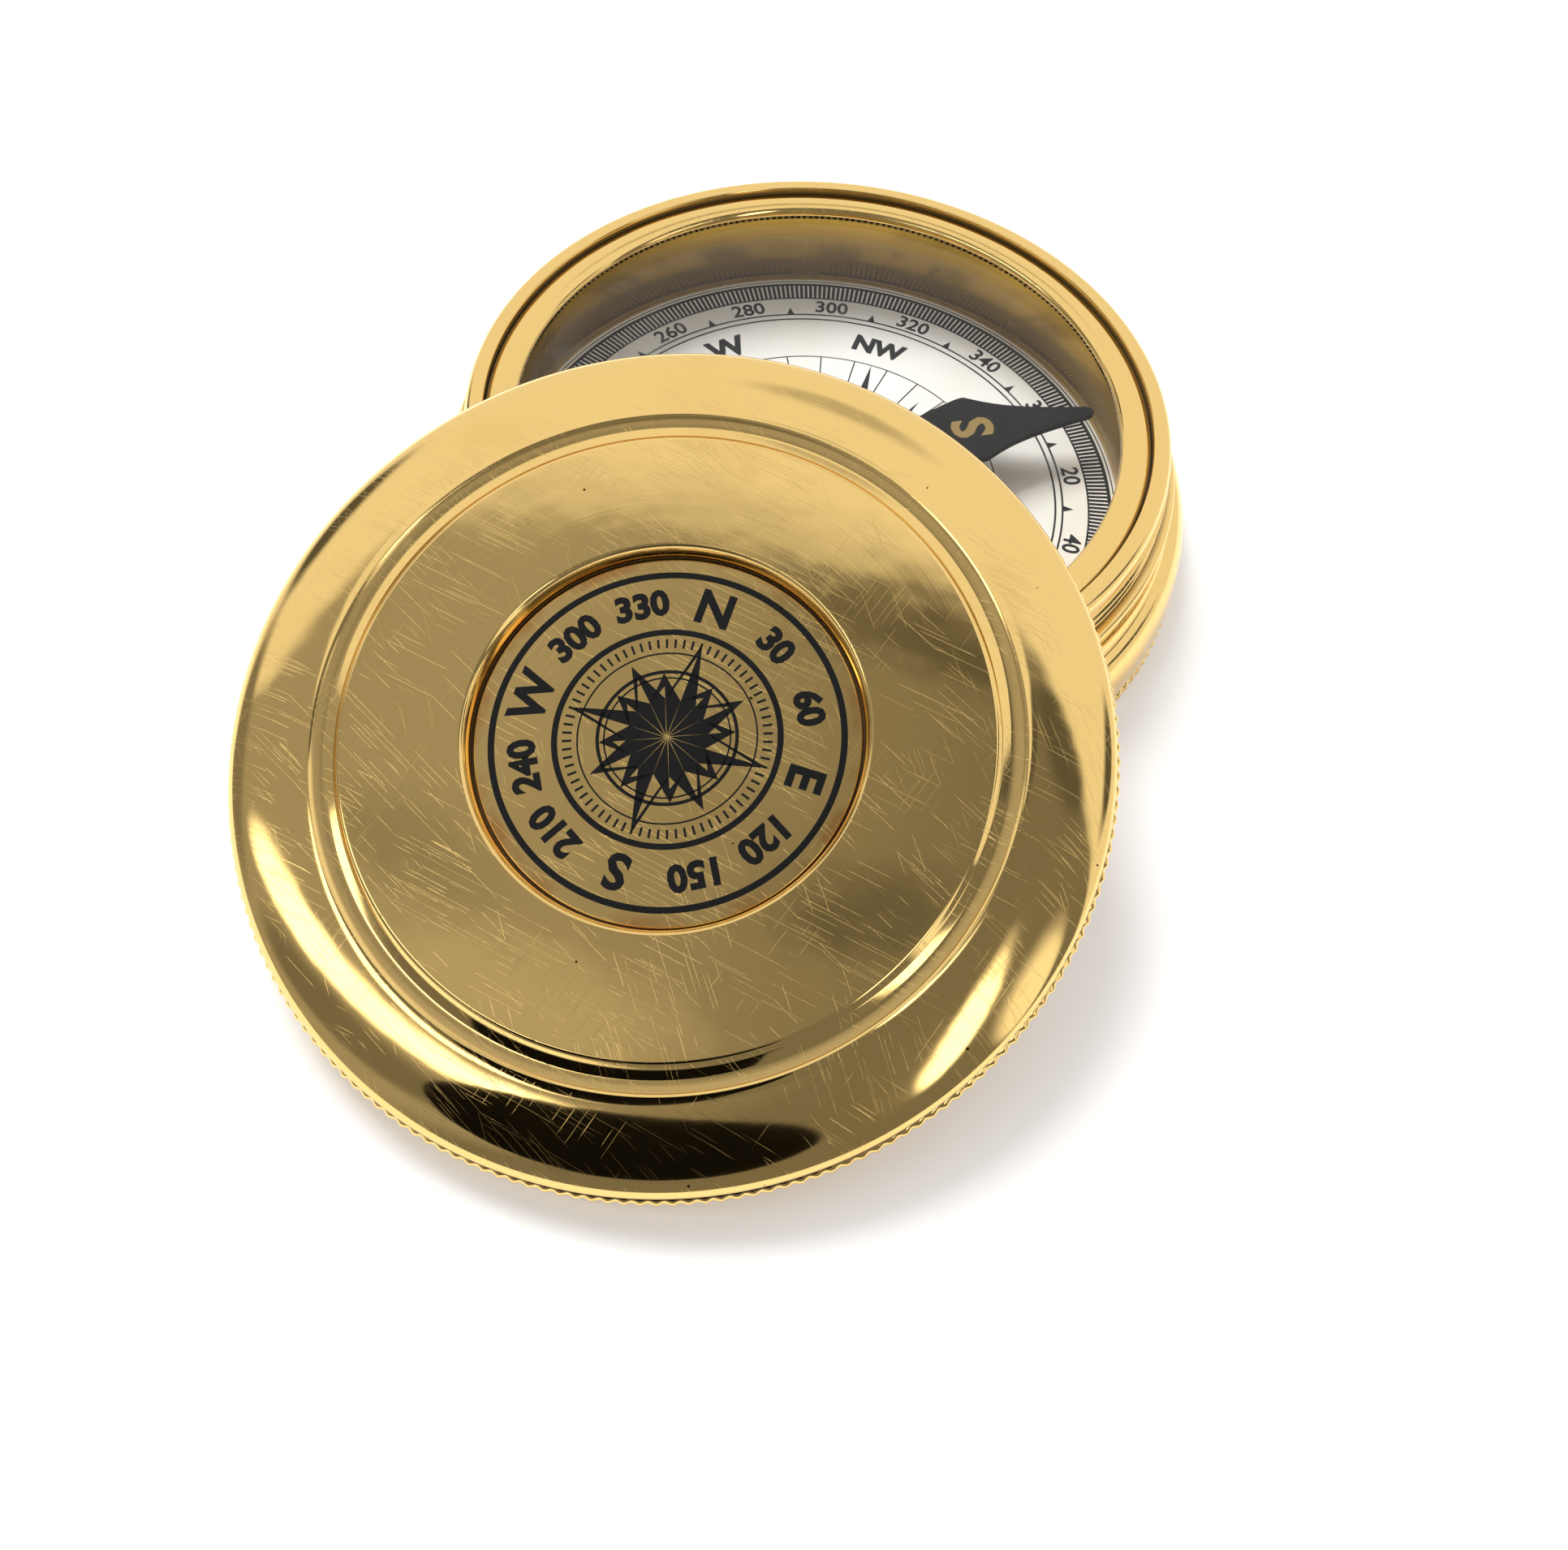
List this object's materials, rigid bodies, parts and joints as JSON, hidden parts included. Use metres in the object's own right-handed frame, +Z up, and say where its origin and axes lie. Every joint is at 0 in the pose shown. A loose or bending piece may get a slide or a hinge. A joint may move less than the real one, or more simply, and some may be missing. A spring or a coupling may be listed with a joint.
{
  "type": "pocket compass",
  "caption": "Turned brass pocket compass with a white degree dial and a spear needle under glass, its knurled screw lid taken off and leaning on the case",
  "frame": {"origin": "centre of the case's flat underside, on the surface the compass stands on", "axes": "+Z up along the needle's pivot, -Y towards the lid that leans on the case, +X to the right"},
  "size_m": [0.076, 0.1155, 0.0252],
  "materials": {
    "polished_brass": "polished and handled, with fine scratches and small pits",
    "dull_brass": "dull, brown",
    "pivot_steel": "ground",
    "needle_lacquer": "black lacquer",
    "dial_card": "printed card",
    "gasket_fibre": "pressed fibre",
    "jewel": "polished",
    "window_glass": "clear"
  },
  "bodies": {
    "case": {"case_bowl": "polished_brass", "dial_plate": "dull_brass", "dial_card": "dial_card", "wall_liner": "dull_brass", "glass_gasket": "gasket_fibre", "glass": "window_glass", "bezel_ring": "polished_brass", "pivot_stud": "dull_brass", "pivot_pin": "pivot_steel"},
    "needle": {"needle_blade": "needle_lacquer", "needle_cap": "polished_brass", "jewel_cup": "jewel"},
    "lid": {"lid_shell": "polished_brass", "lid_medallion": "polished_brass"}
  },
  "joints": [
    {"name": "needle_spin", "type": "hinge", "parent": "case", "child": "needle", "pos_m": [0, 0, 0.0084], "axis": [0, 0, 1], "continuous": true},
    {"name": "lid_lift", "type": "slide", "parent": "case", "child": "lid", "axis": [0, 0, 1], "range_m": [0, 0.05]}
  ]
}
